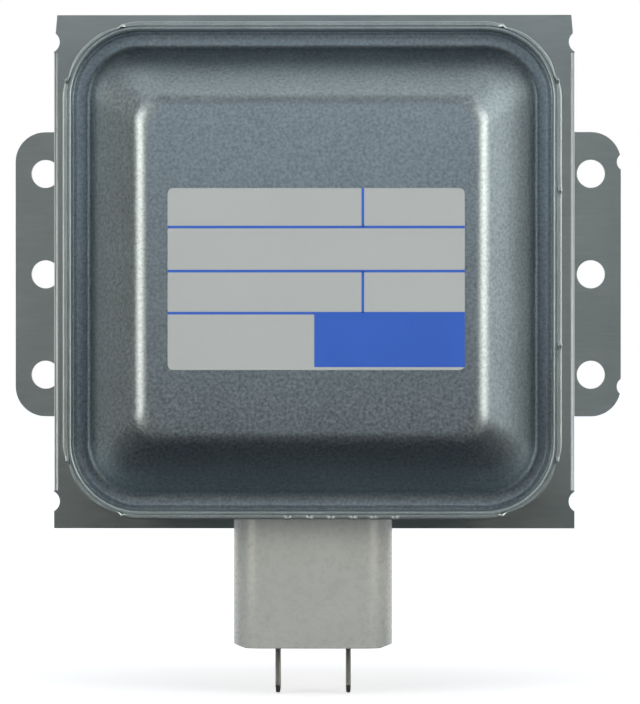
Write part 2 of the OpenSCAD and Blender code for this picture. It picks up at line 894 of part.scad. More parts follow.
module lower_end_hat() {
    color("#8f8f8e") laid() difference() {
        union() {
            translate([0, 0, filament_end - hat_t]) cylinder(h = hat_t, r = hat_r);
            translate([0, 0, filament_end]) cylinder(h = hat_boss_h, r = hat_boss_r);
        }
        translate([0, 0, filament_end - 2 * hat_t]) cylinder(h = 4 * hat_t, d = lead_d + 2 * free_fit);
    }
}

// A profile carried round a rounded rectangle: its x runs inwards from the outer face
module around(w, d, r) {
    for (q = [0 : 3]) {
        run = q % 2 == 0 ? d - 2 * r : w - 2 * r;
        reach = q % 2 == 0 ? w / 2 : d / 2;
        side_run = q % 2 == 0 ? w - 2 * r : d - 2 * r;
        rotate([0, 0, 90 * q]) {
            translate([reach, 0, 0]) rotate([90, 0, 0]) linear_extrude(run, center = true) {
                mirror([1, 0]) children();
            }
            translate([side_run / 2, run / 2, 0]) rotate_extrude(angle = 90) {
                translate([r, 0]) mirror([1, 0]) children();
            }
        }
    }
}

// Section of the box's wall, from the bend at the floor to the raw edge
module box_wall_section() {
    bend_r = box_floor_r + box_t;
    translate([0, rim]) square([box_t, box_h - bend_r]);
    translate([bend_r, yoke_under - bend_r]) intersection() {
        difference() {
            circle(r = bend_r);
            circle(r = box_floor_r);
        }
        translate([-bend_r, 0]) square(bend_r);
    }
}

module filter_box() {
    bend_r = box_floor_r + box_t;
    color("#8d9696") laid() difference() {
        union() {
            around(box_w, box_d, box_r) box_wall_section();
            translate([0, 0, box_floor]) linear_extrude(box_t) {
                rounded_rect(box_w - 2 * bend_r, box_d - 2 * bend_r, box_r - bend_r);
            }
        }
        wall_prism(wall_in - 1, box_d / 2 + 1) {
            rounded_rect(housing_w + 2 * case_fit, housing_t + 2 * case_fit, housing_r + case_fit);
        }
        at_corners(rivet_pitch, rivet_pitch) {
            translate([0, 0, box_floor - 1]) cylinder(h = box_t + 2, d = rivet_d + 2 * press_fit);
        }
        translate([0, 0, box_floor - 1]) cylinder(h = box_t + 2, r = throat_r);
    }
}

module box_rivets() {
    head_r = 0.9 * rivet_d;
    head_h = rivet_d / 3;
    color("#a3a6a6") laid() at_corners(rivet_pitch, rivet_pitch) {
        translate([0, 0, box_floor - head_h]) cylinder(h = head_h, r = head_r);
        translate([0, 0, box_floor]) cylinder(h = yoke_top - box_floor, d = rivet_d);
        translate([0, 0, yoke_top]) cylinder(h = head_h, r = head_r);
    }
}

module filter_lid() {
    line = bent_line(lid_line, lid_bends, bend_steps);
    last = len(line) - 1;
    half = lid_t / 2;
    outer = [for (k = [last : -1 : 0]) line[k][0] + half * line[k][1]];
    inner = [for (k = [0 : last]) line[k][0] - half * line[k][1]];
    color("#78858a") laid() skin([for (p = concat(outer, inner)) lid_ring(p.x, p.y)]);
}

module rating_label() {
    color("#b2b7b5") laid() translate([label_right, label_down, dome_face - label_t]) {
        linear_extrude(label_t) rounded_rect(label_w, label_h, label_r);
    }
}

// Both tab terminals' places
module at_tabs() {
    for (side = [-1, 1]) translate([side * tab_pitch / 2, 0]) children();
}

// Wedge that bevels one side of the housing's end
module housing_bevel(side) {
    edge = housing_w / 2;
    polygon([
        [side * (edge - 2 * housing_bevel_w), housing_end + housing_bevel_h],
        [side * (edge + housing_bevel_w), housing_end - 2 * housing_bevel_h],
        [side * (edge + housing_bevel_w), housing_end + housing_bevel_h]
    ]);
}

module connector_housing() {
    color("#b0b2ae") laid() difference() {
        wall_prism(wall_in, housing_end) rounded_rect(housing_w, housing_t, housing_r);
        translate([0, 0, filter_mid - housing_t]) linear_extrude(2 * housing_t) {
            for (side = [-1, 1]) housing_bevel(side);
        }
        wall_prism(wall_in - 1, wall_in + dielectric_h) {
            rounded_rect(dielectric_w + 2 * case_fit, dielectric_t + 2 * case_fit, dielectric_r + case_fit);
        }
        wall_prism(wall_in, tab_root + tab_weld) at_tabs() circle(d = conductor_d + 2 * press_fit);
        wall_prism(tab_root, housing_end + 1) at_tabs() {
            square([tab_t + 2 * press_fit, tab_w + 2 * press_fit], center = true);
        }
    }
}

module capacitor_plate() {
    color("#9a9f9f") laid() wall_prism(wall_in - cap_plate_t, wall_in) difference() {
        rounded_rect(cap_plate_w, cap_plate_h, plate_corner_r);
        rounded_rect(inner_case_w + 2 * case_fit, inner_case_t + 2 * case_fit, inner_case_r + case_fit);
    }
}

module capacitor_ceramic() {
    color("#c9b28c") laid() wall_prism(wall_in, wall_in + dielectric_h) difference() {
        rounded_rect(dielectric_w, dielectric_t, dielectric_r);
        at_tabs() circle(d = conductor_d + 2 * press_fit);
    }
}

module capacitor_inner_case() {
    color("#d8d4c8") laid() wall_prism(wall_in - inner_case_h, wall_in) difference() {
        rounded_rect(inner_case_w, inner_case_t, inner_case_r);
        at_tabs() circle(d = conductor_d + 2 * press_fit);
    }
}

module tab_terminal(side) {
    color("#8b8d8c") laid() translate([side * tab_pitch / 2, 0, 0]) {
        wall_prism(conductor_end, tab_root + tab_weld) circle(d = conductor_d);
        translate([-tab_t / 2, 0, filter_mid]) rotate([90, 0, 90]) linear_extrude(tab_t) {
            polygon([
                [tab_root, -tab_w / 2],
                [tab_tip - tab_chamfer, -tab_w / 2],
                [tab_tip, -tab_w / 2 + tab_chamfer],
                [tab_tip, tab_w / 2 - tab_chamfer],
                [tab_tip - tab_chamfer, tab_w / 2],
                [tab_root, tab_w / 2]
            ]);
        }
    }
}

// A right-hand piece, or its mirror image on the left
module on_side(side) {
    mirror([side < 0 ? 1 : 0, 0, 0]) children();
}

module choke_coil(side) {
    color("#9c5a33") laid() on_side(side) wire(choke_route, choke_wire_d, [0, 0, 1]);
}

module choke_core(side) {
    core_len = choke_len + 4;
    color("#454547") laid() on_side(side) translate([choke_x, 0, filter_mid]) {
        rotate([90, 0, 0]) cylinder(h = core_len, d = core_d, center = true);
    }
}

mount_plate();
yoke_frame();
ring_magnet(mount_under - magnet_t);  // output_magnet
ring_magnet(yoke_top);  // input_magnet
for (i = [1 : fin_count]) {
    cooling_fin(i);
}
anode_shell();
for (i = [1 : vane_count]) {
    anode_vane(i);
}
strap_ring(strap_r, vane_top - strap_h);  // inner_strap_output
strap_ring(outer_strap_r, vane_top - strap_h);  // outer_strap_output
strap_ring(strap_r, vane_top - vane_h);  // inner_strap_input
strap_ring(outer_strap_r, vane_top - vane_h);  // outer_strap_input
output_pole_piece();
input_pole_piece();
output_sleeve();
input_sleeve();
output_ceramic();
exhaust_tube();
antenna_rod();
antenna_cap();
rf_gasket();
cathode_stem();
stem_terminal(-1);  // stem_terminal_left
stem_terminal(1);  // stem_terminal_right
centre_lead();
side_lead();
filament();
upper_end_hat();
lower_end_hat();
filter_box();
box_rivets();
filter_lid();
rating_label();
connector_housing();
capacitor_plate();
capacitor_ceramic();
capacitor_inner_case();
tab_terminal(-1);  // terminal_left
tab_terminal(1);  // terminal_right
choke_coil(-1);  // choke_coil_left
choke_coil(1);  // choke_coil_right
choke_core(-1);  // choke_core_left
choke_core(1);  // choke_core_right
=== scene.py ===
import math

import bmesh
import bpy
from bpy.props import FloatProperty, FloatVectorProperty, IntProperty, PointerProperty
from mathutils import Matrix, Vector


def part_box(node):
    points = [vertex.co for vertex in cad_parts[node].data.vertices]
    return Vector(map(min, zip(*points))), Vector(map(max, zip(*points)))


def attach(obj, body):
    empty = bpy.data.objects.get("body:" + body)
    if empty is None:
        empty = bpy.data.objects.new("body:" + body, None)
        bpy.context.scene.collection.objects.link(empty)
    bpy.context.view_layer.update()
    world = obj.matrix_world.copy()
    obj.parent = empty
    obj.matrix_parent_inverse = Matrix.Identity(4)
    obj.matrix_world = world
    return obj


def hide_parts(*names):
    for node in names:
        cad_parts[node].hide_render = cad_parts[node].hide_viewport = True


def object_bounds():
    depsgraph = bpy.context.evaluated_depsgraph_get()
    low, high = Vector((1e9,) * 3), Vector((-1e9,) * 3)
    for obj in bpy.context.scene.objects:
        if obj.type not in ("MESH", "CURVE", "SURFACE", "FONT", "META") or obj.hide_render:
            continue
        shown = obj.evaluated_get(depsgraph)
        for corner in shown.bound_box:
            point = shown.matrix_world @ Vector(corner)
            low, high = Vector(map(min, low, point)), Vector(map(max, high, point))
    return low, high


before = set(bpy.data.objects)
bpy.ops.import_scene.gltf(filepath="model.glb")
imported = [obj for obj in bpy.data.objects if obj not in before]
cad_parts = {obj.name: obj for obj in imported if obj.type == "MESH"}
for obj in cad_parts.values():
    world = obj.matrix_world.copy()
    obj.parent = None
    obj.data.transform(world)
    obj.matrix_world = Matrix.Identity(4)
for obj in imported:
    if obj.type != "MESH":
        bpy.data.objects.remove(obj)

bl_info = {
    "name": "Magnetron Looks",
    "version": (1, 0, 0),
    "blender": (4, 5, 0),
    "location": "3D View > Sidebar > Magnetron",
    "description": "Finishes, drawn sheet-metal pieces and a studio for a microwave-oven magnetron",
    "category": "Object",
}

CAD_BOX = [list(corner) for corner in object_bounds()]
MM = 0.001
BODY = "root"

# The photograph's frame and where the camera stood, in pixels and millimetres
PHOTO_W = 640
PHOTO_H = 704
FOCAL_PX = 4900
VANISHING_PX = (376, 311.6)
CAMERA_PLACE = (10.1, -855, -6.5)
SENSOR_MM = 36

# Fixed shader values of every bare metal, and how far the grain changes the roughness
METAL = {"Metallic": 1.0}
GLOSS_SPREAD = 0.04

# Rounding that the die leaves on the burr side of a sheared edge
BURR_SIDE = 0.06 * MM


def linear(hex_colour):
    """Linear RGBA of an sRGB hex colour."""
    channels = [int(hex_colour[i : i + 2], 16) / 255 for i in (1, 3, 5)]
    return [c / 12.92 if c <= 0.04045 else ((c + 0.055) / 1.055) ** 2.4 for c in channels] + [1.0]


def colour_property(name, description, hex_colour):
    return FloatVectorProperty(
        name=name, description=description, subtype="COLOR", size=4, min=0, max=1, default=linear(hex_colour)
    )


def size_property(name, description, millimetres):
    return FloatProperty(
        name=name, description=description, subtype="DISTANCE", unit="LENGTH", default=millimetres * MM
    )


class MagnetronColours(bpy.types.PropertyGroup):
    """Colours of the finishes"""

    zinc: colour_property("Zinc Plate", "Yoke and mounting plate", "#a5afb4")
    drawn: colour_property("Drawn Steel", "Filter box", "#aeb6b7")
    lid: colour_property("Lid Steel", "Speckled lid of the filter box", "#a6b3bb")
    sheared: colour_property("Sheared Edge", "Raw edges of the box and the lid", "#b5c1c5")
    film: colour_property("Label Film", "Bare film of the label", "#b3b8b7")
    ink: colour_property("Label Ink", "Rules and block on the label", "#3061c4")
    plastic: colour_property("Housing Plastic", "Connector housing", "#adb0ac")
    tab: colour_property("Tab Plating", "Tab terminals", "#b2b4b4")


class LidSizes(bpy.types.PropertyGroup):
    """Section of the drawn lid"""

    sheet: size_property("Sheet", "Thickness of the lid's sheet", 0.6)
    groove_depth: size_property("Groove Depth", "Depth of the groove below the rim", 4.2)
    groove_width: size_property("Groove Width", "Width of the groove inside the lip", 2.7)
    dome_width: size_property("Dome Width", "Width of the raised top over its edges", 54)
    dome_corner: size_property("Dome Corner", "Corner radius of the raised top", 4.6)
    dome_edge: size_property("Dome Edge", "Radius of the raised top's rounded edge", 3.5)
    lip_bend: size_property("Lip Bend", "Middle radius of the bend under the lip", 0.45)
    groove_bend: size_property("Groove Bend", "Middle radius of the bend at the slope's foot", 1.6)
    burnish: size_property("Burnish", "Rounding of the lip's inner edge", 0.25)
    # Painted shade: how far above the groove's floor the lid's colour is darkened to stand in for the groove's shade
    soiled: size_property("Soiled Height", "Height above the groove up to which the lid is dulled", 1)
    ridge_at: size_property("Ridge Place", "Distance of the die's mark in the groove from the lip's outside", 1.3)
    ridge: size_property("Ridge", "Height of the die's mark in the groove", 0.06)


class BoxSizes(bpy.types.PropertyGroup):
    """Section of the drawn filter box and the trim marks on its rim"""

    sheet: size_property("Sheet", "Thickness of the box's sheet", 0.7)
    corner: size_property("Corner", "Outside radius of the upright corners", 12.2)
    floor_bend: size_property("Floor Bend", "Inside radius between wall and floor", 0.9)
    throat: size_property("Throat", "Radius of the hole round the tube's neck", 10.4)
    trim_at: size_property("Trim Mark", "Distance of the trim marks from the middle of each side", 30.2)
    trim_step: size_property("Trim Step", "Step in of the rim at the corners", 0.15)
    burnish: size_property("Burnish", "Rounding of the rim's outer edge", 0.22)
    burr: size_property("Burr", "Height of the burrs at the trim marks", 0.35)
    pinch: size_property("Pinch", "Bend in of the rim beside the trim marks", 0.25)


class LabelSizes(bpy.types.PropertyGroup):
    """Rules and block on the label"""

    corner: size_property("Corner", "Corner radius of the label", 0.9)
    rule: size_property("Rule", "Thickness of the printed rules", 0.42)


class ConnectorSizes(bpy.types.PropertyGroup):
    """Roundings of the connector"""

    corner: size_property("Corner", "Radius of the housing's long edges", 5)
    end_edge: size_property("End Edge", "Radius of the housing's end edge", 0.25)
    bevel_run: size_property("Bevel Run", "Run of the bevels along the housing's end", 2)
    bevel_rise: size_property("Bevel Rise", "Rise of the bevels along the housing's sides", 0.6)
    tab_thickness: size_property("Tab Thickness", "Thickness of the tab terminals", 0.8)
    tab_coin: size_property("Tab Coin", "Length of the coined tip of a tab", 1.3)
    conductor: size_property("Conductor", "Diameter of the round conductors", 2)


class GasketSizes(bpy.types.PropertyGroup):
    """Knit of the mesh gasket, drawn with thicker wire and wider stitches than a real one so that it shows"""

    wire: size_property("Wire", "Diameter of the knitted wire", 0.26)
    stitch: size_property("Stitch", "Length of one stitch along the ring", 1.5)
    course: size_property("Course", "Spacing of the rows of stitches", 0.95)


class MagnetronSettings(bpy.types.PropertyGroup):
    """All settings of the magnetron"""

    colours: PointerProperty(type=MagnetronColours)
    lid: PointerProperty(type=LidSizes)
    box: PointerProperty(type=BoxSizes)
    label: PointerProperty(type=LabelSizes)
    connector: PointerProperty(type=ConnectorSizes)
    gasket: PointerProperty(type=GasketSizes)
    edge: size_property("Edge", "Rounding of the edges of plain solids", 0.12)
    corner_steps: IntProperty(name="Corner Steps", description="Points along a round corner", default=28, min=6)
    side_step: size_property("Side Step", "Spacing of the points along a straight side", 0.5)


# Node trees


def add(tree, kind, inputs=None, **settings):
    """Adds a node with its settings. An input that is a socket is linked, and any other value is set."""
    made = tree.nodes.new(kind)
    for key, value in settings.items():
        setattr(made, key, value)
    for key, value in (inputs or {}).items():
        if isinstance(value, bpy.types.NodeSocket):
            tree.links.new(value, made.inputs[key])
        else:
            made.inputs[key].default_value = value
    return made


def new_material(name):
    """An empty material with its output, its shader and the object's own coordinates in metres."""
    material = bpy.data.materials.new(name)
    material.use_nodes = True
    tree = material.node_tree
    tree.nodes.clear()
    shader = add(tree, "ShaderNodeBsdfPrincipled")
    add(tree, "ShaderNodeOutputMaterial", {"Surface": shader.outputs["BSDF"]})
    place = add(tree, "ShaderNodeTexCoord").outputs["Object"]
    return material, tree, shader, place


def per_metre(size_mm):
    """Scale of a pattern whose features are that wide."""
    return 1 / (size_mm * MM)


def tone(tree, colour, amount, factor):
    """A colour that a factor from 0 to 1 makes darker or lighter by that amount."""
    darker = [c * (1 - amount) for c in colour[:3]] + [1]
    lighter = [min(1, c * (1 + amount)) for c in colour[:3]] + [1]
    mixed = add(tree, "ShaderNodeMix", {"Factor": factor}, data_type="RGBA")
    mixed.inputs[6].default_value = darker
    mixed.inputs[7].default_value = lighter
    return mixed.outputs[2]


def grained(name, colour, grain, clouds, roughness, bump_mm, fixed, stretch=(1, 1, 1)):
    """A surface with a fine grain and wide soft clouds, each given by its width in millimetres and its amount.

    Both change its colour, and the grain also its gloss and relief. Real grain is often too fine to show, so it is
    drawn a few tenths of a millimetre wide. Fixed values go straight to the shader's inputs.
    """
    material, tree, shader, place = new_material(name)
    for key, value in fixed.items():
        shader.inputs[key].default_value = value
    along = add(tree, "ShaderNodeMapping", {"Vector": place, "Scale": stretch}).outputs["Vector"]
    patterns = []
    for vector, size_mm, detail in ((along, grain[0], 3.0), (place, clouds[0], 2.0)):
        noise = {"Vector": vector, "Scale": per_metre(size_mm), "Detail": detail}
        patterns.append(add(tree, "ShaderNodeTexNoise", noise))
    patterns[0].inputs["Roughness"].default_value = 0.6
    height = patterns[0].outputs["Fac"]
    sharp, soft = (
        add(tree, "ShaderNodeMapRange", {"Value": p.outputs["Fac"], "From Min": 0.3, "From Max": 0.7}).outputs["Result"]
        for p in patterns
    )
    amount = grain[1] + clouds[1]
    both = add(tree, "ShaderNodeMix", {"Factor": grain[1] / amount, "A": soft, "B": sharp}).outputs["Result"]
    range_of_gloss = {"Value": sharp, "To Min": roughness - GLOSS_SPREAD, "To Max": roughness + GLOSS_SPREAD}
    gloss = add(tree, "ShaderNodeMapRange", range_of_gloss).outputs["Result"]
    bumps = {"Height": height, "Strength": 1.0, "Distance": bump_mm * MM}
    relief = add(tree, "ShaderNodeBump", bumps).outputs["Normal"]
    tree.links.new(tone(tree, colour, amount, both), shader.inputs["Base Color"])
    tree.links.new(gloss, shader.inputs["Roughness"])
    tree.links.new(relief, shader.inputs["Normal"])
    return material


def darken(material, factor, amount):
    """Darkens a material's colour by that amount where a factor is 1."""
    tree = material.node_tree
    base = tree.nodes["Principled BSDF"].inputs["Base Color"]
    mixed = add(tree, "ShaderNodeMix", {"Factor": factor}, data_type="RGBA", blend_type="MULTIPLY")
    mixed.inputs[7].default_value = (1 - amount, 1 - amount, 1 - amount, 1)
    tree.links.new(base.links[0].from_socket, mixed.inputs[6])
    tree.links.new(mixed.outputs[2], base)


def zinc_plated_steel(colours):
    # Cold-rolled sheet, bright zinc plated: a grey satin with faint rolling lines across the yoke
    return grained(
        "zinc_plated_steel", colours.zinc, (0.5, 0.05), (14, 0.05), 0.48, 0.004, METAL, stretch=(0.12, 0.12, 1)
    )


def drawn_zinc_steel(colours):
    # The same sheet after deep drawing: the zinc is burnished by the die, so it is brighter and smoother
    return grained(
        "drawn_zinc_steel", colours.drawn, (0.5, 0.04), (9, 0.05), 0.36, 0.001, METAL, stretch=(1, 0.2, 1)
    )


def speckled_zinc_steel(colours, groove_y, painted_shade_h):
    # Hot-dipped sheet with a fine spangle: the crystals show as a dense speckle about half a millimetre wide.
    # Painted shade: the colour is darkened by a fifth on the groove's floor and up to a height above it, where the lip
    # and the raised top shade the groove.
    material = grained("speckled_zinc_steel", colours.lid, (0.5, 0.24), (11, 0.04), 0.42, 0.006, METAL)
    tree = material.node_tree
    place = add(tree, "ShaderNodeTexCoord").outputs["Object"]
    depth = add(tree, "ShaderNodeSeparateXYZ", {"Vector": place}).outputs["Y"]
    # Painted shade: 1 at the groove's floor and behind it, falling to 0 at that height above the floor
    soiled = add(tree, "ShaderNodeMapRange", {"Value": depth, "From Min": groove_y - painted_shade_h, "From Max": groove_y})
    darken(material, soiled.outputs["Result"], 0.2)
    return material


def sheared_steel(colours):
    # Edge left by the trimming die: bare and bright, with fine shear lines across the sheet
    return grained("sheared_steel", colours.sheared, (0.35, 0.1), (4, 0.08), 0.48, 0.006, METAL)


def label_film(colours):
    # Matt polyester film: an even pale grey with the faintest print grain
    return grained("label_film", colours.film, (0.3, 0.015), (20, 0.015), 0.5, 0.001, {"IOR": 1.6})


def label_ink(colours):
    # Screen-printed blue ink, a little glossier than the film it lies on
    return grained("label_ink", colours.ink, (0.3, 0.04), (12, 0.04), 0.42, 0.001, {"IOR": 1.5})


def moulded_thermoset(colours):
    # Mineral-filled thermoset, pressed in a polished mould: pale grey with faint flow marks and a few filler specks
    material = grained("moulded_thermoset", colours.plastic, (0.9, 0.015), (5, 0.03), 0.28, 0.002, {"IOR": 1.55})
    tree = material.node_tree
    place = add(tree, "ShaderNodeTexCoord").outputs["Object"]
    noise = add(tree, "ShaderNodeTexNoise", {"Vector": place, "Scale": per_metre(1.3), "Detail": 1.0}).outputs["Fac"]
    specks = add(tree, "ShaderNodeMapRange", {"Value": noise, "From Min": 0.66, "From Max": 0.76}).outputs["Result"]
    darken(material, specks, 0.16)
    return material


def tinned_steel(colours):
    # Blanked tab with a dull tin plating, drawn along the tab
    return grained("tinned_steel", colours.tab, (0.3, 0.08), (3, 0.08), 0.5, 0.004, METAL, stretch=(1, 1, 0.15))


def ground_ferrite():
    # Sintered ferrite, ground on its faces: nearly black grey with a fine grain of pores
    return grained("ground_ferrite", linear("#3a3b3e"), (0.35, 0.14), (6, 0.06), 0.55, 0.012, {"IOR": 2.2})


def mill_aluminium():
    # Rolled aluminium sheet: bright, with rolling lines along the fins
    return grained(
        "mill_aluminium", linear("#c3c6c8"), (0.4, 0.05), (9, 0.04), 0.3, 0.003, METAL, stretch=(1, 1, 0.1)
    )


def oxygen_free_copper():
    # Machined and brazed copper: warm, with turning marks round the axis and a light tarnish
    return grained(
        "oxygen_free_copper", linear("#bf7f58"), (0.4, 0.06), (5, 0.1), 0.32, 0.004, METAL, stretch=(0.2, 1, 0.2)
    )


def nickel_plated_iron():
    # Pressed soft iron with a thin nickel plating
    return grained("nickel_plated_iron", linear("#a3a39e"), (0.4, 0.05), (6, 0.05), 0.34, 0.003, METAL)


def plated_sleeve_steel():
    # Deep-drawn sleeve, plated for brazing: smooth, with draw lines along the axis
    return grained(
        "plated_sleeve_steel", linear("#b1b1ac"), (0.4, 0.05), (5, 0.05), 0.28, 0.003, METAL, stretch=(1, 0.12, 1)
    )


def fired_alumina():
    # Fired alumina, unglazed: matt white with a fine grain
    return grained("fired_alumina", linear("#efece6"), (0.25, 0.02), (4, 0.02), 0.6, 0.004, {"IOR": 1.76})


def polished_stainless():
    # Drawn cap, tumbled to a polish: near-mirror, with the finest draw lines
    return grained(
        "polished_stainless", linear("#d2d2cf"), (0.3, 0.02), (4, 0.03), 0.16, 0.001, METAL, stretch=(1, 0.1, 1)
    )


def knitted_wire():
    # Drawn wire of a copper-nickel alloy, knitted and pressed to a ring
    return grained("knitted_wire", linear("#c2bdb0"), (0.3, 0.06), (3, 0.08), 0.3, 0.002, METAL)


def refractory_metal():
    # Molybdenum and carburised tungsten: dull dark grey
    return grained("refractory_metal", linear("#8a8986"), (0.2, 0.08), (2, 0.06), 0.45, 0.003, METAL)


def fired_titanate():
    # Barium titanate body of the capacitor, with a sandy matt surface
    return grained("fired_titanate", linear("#cbb590"), (0.3, 0.05), (3, 0.04), 0.62, 0.006, {"IOR": 2.0})


def enamelled_copper():
    # Copper wire under an amber enamel, which gives it a clear gloss
    enamel = {"Coat Weight": 1.0, "Coat Roughness": 0.08}
    return grained("enamelled_copper", linear("#a4582c"), (0.4, 0.06), (3, 0.06), 0.35, 0.002, {**METAL, **enamel})


def once(maker, *colours):
    """The material of that function, made the first time it is asked for."""
    return bpy.data.materials.get(maker.__name__) or maker(*colours)


# Shapes


def rounded_loop(width, height, radius, corner_steps, side_step):
    """Points and outward normals of a rounded rectangle about the origin, in the plane of X and Z."""
    loop = []
    half = Vector((width / 2 - radius, height / 2 - radius))
    for quarter in range(4):
        sx = 1 if quarter in (0, 3) else -1
        sz = 1 if quarter in (0, 1) else -1
        middle = Vector((sx * half.x, sz * half.y))
        for k in range(corner_steps + 1):
            angle = math.pi / 2 * (quarter + k / corner_steps)
            spoke = Vector((math.cos(angle), math.sin(angle)))
            loop.append((middle + radius * spoke, spoke))
        run = 2 * (half.x if quarter % 2 == 0 else half.y)
        count = max(1, round(run / side_step))
        along = Vector((-spoke.y, spoke.x))
        start = loop[-1][0]
        loop.extend((start + along * run * k / count, spoke) for k in range(1, count))
    return loop


def bent_line(points, radii, steps):
    """Points and left-hand normals along a line with rounded bends."""
    points = [Vector(p) for p in points]

    def left(v):
        return Vector((-v.y, v.x))

    line = [(points[0], left((points[1] - points[0]).normalized()))]
    for a, b, c, radius in zip(points, points[1:], points[2:], radii):
        back, ahead = (a - b).normalized(), (c - b).normalized()
        half = back.angle(ahead) / 2
        middle = b + (back + ahead).normalized() * radius / math.sin(half)
        first = b + back * radius / math.tan(half) - middle
        sweep = math.pi - 2 * half
        turn = math.copysign(1, back.x * ahead.y - back.y * ahead.x) * -1
        for k in range(steps + 1):
            angle = turn * sweep * k / steps
            spoke = Vector(
                (
                    first.x * math.cos(angle) - first.y * math.sin(angle),
                    first.x * math.sin(angle) + first.y * math.cos(angle),
                )
            ).normalized()
            line.append((middle + radius * spoke, spoke * -turn))
    line.append((points[-1], left((points[-1] - points[-2]).normalized())))
    return line


def skin(rings, closed=False):
    """Vertices and faces through rings with equal numbers of points. It is capped at both ends unless closed."""
    count = len(rings[0])
    points = [p for ring in rings for p in ring]
    faces = []
    pairs = list(zip(range(len(rings)), range(1, len(rings))))
    if closed:
        pairs.append((len(rings) - 1, 0))
    for i, j in pairs:
        for k in range(count):
            m = (k + 1) % count
            faces.append((i * count + k, i * count + m, j * count + m, j * count + k))
    if not closed:
        faces.append(tuple(range(count - 1, -1, -1)))
        last = (len(rings) - 1) * count
        faces.append(tuple(range(last, last + count)))
    return points, faces


def merged(*shells):
    """Several shells of points and faces as one."""
    points, faces = [], []
    for shell_points, shell_faces in shells:
        start = len(points)
        points.extend(shell_points)
        faces.extend(tuple(i + start for i in face) for face in shell_faces)
    return points, faces


def new_piece(name, shell, materials, replaced, smooth_deg=40, face_materials=None):
    """A piece of the object from one shell, in the place of CAD nodes."""
    mesh = bpy.data.meshes.new(name)
    mesh.from_pydata([tuple(p) for p in shell[0]], [], shell[1])
    work = bmesh.new()
    work.from_mesh(mesh)
    bmesh.ops.recalc_face_normals(work, faces=work.faces)
    work.to_mesh(mesh)
    work.free()
    for material in materials:
        mesh.materials.append(material)
    if face_materials:
        mesh.polygons.foreach_set("material_index", face_materials)
    mesh.shade_smooth()
    mesh.set_sharp_from_angle(angle=math.radians(smooth_deg))
    piece = bpy.data.objects.new(name, mesh)
    bpy.context.scene.collection.objects.link(piece)
    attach(piece, BODY)
    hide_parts(*replaced)
    return piece


def dress(nodes, material, edge=0.0):
    """Gives CAD nodes a material, and rounds their edges where a radius is given."""
    for name in nodes:
        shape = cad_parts[name]
        shape.data.materials.clear()
        shape.data.materials.append(material)
        if edge:
            weld = shape.modifiers.new("Weld", "WELD")
            weld.merge_threshold = 0.002 * MM
            bevel = shape.modifiers.new("Edges", "BEVEL")
            bevel.width = edge
            bevel.segments = 2
            bevel.limit_method = "ANGLE"
            bevel.angle_limit = math.radians(50)
            bevel.harden_normals = True


def bump(distance, width):
    """1 at no distance, falling softly to 0 over about that width."""
    return math.exp(-((distance / width) ** 2))


def edge_faces(shell, count, edge_rings):
    """Material numbers of the faces of a skin of rings: 1 after the rings of the sheared edge, 0 elsewhere."""
    return [1 if i // count in edge_rings else 0 for i in range(len(shell[1]))]


def sheared_edge(sheet, outer_r, inner_r):
    """Inset and depth of points across the flat edge of a sheet, rounded differently at its two sides."""
    turns = [math.pi / 8 * k for k in range(5)]
    points = [(outer_r * (1 - math.cos(a)), outer_r * (1 - math.sin(a))) for a in turns]
    return points + [(sheet - inner_r * (1 - math.sin(a)), inner_r * (1 - math.cos(a))) for a in turns]


def ease(low, high, x):
    """0 below low, 1 above high and smooth between."""
    t = min(1, max(0, (x - low) / (high - low)))
    return t * t * (3 - 2 * t)


# Pieces


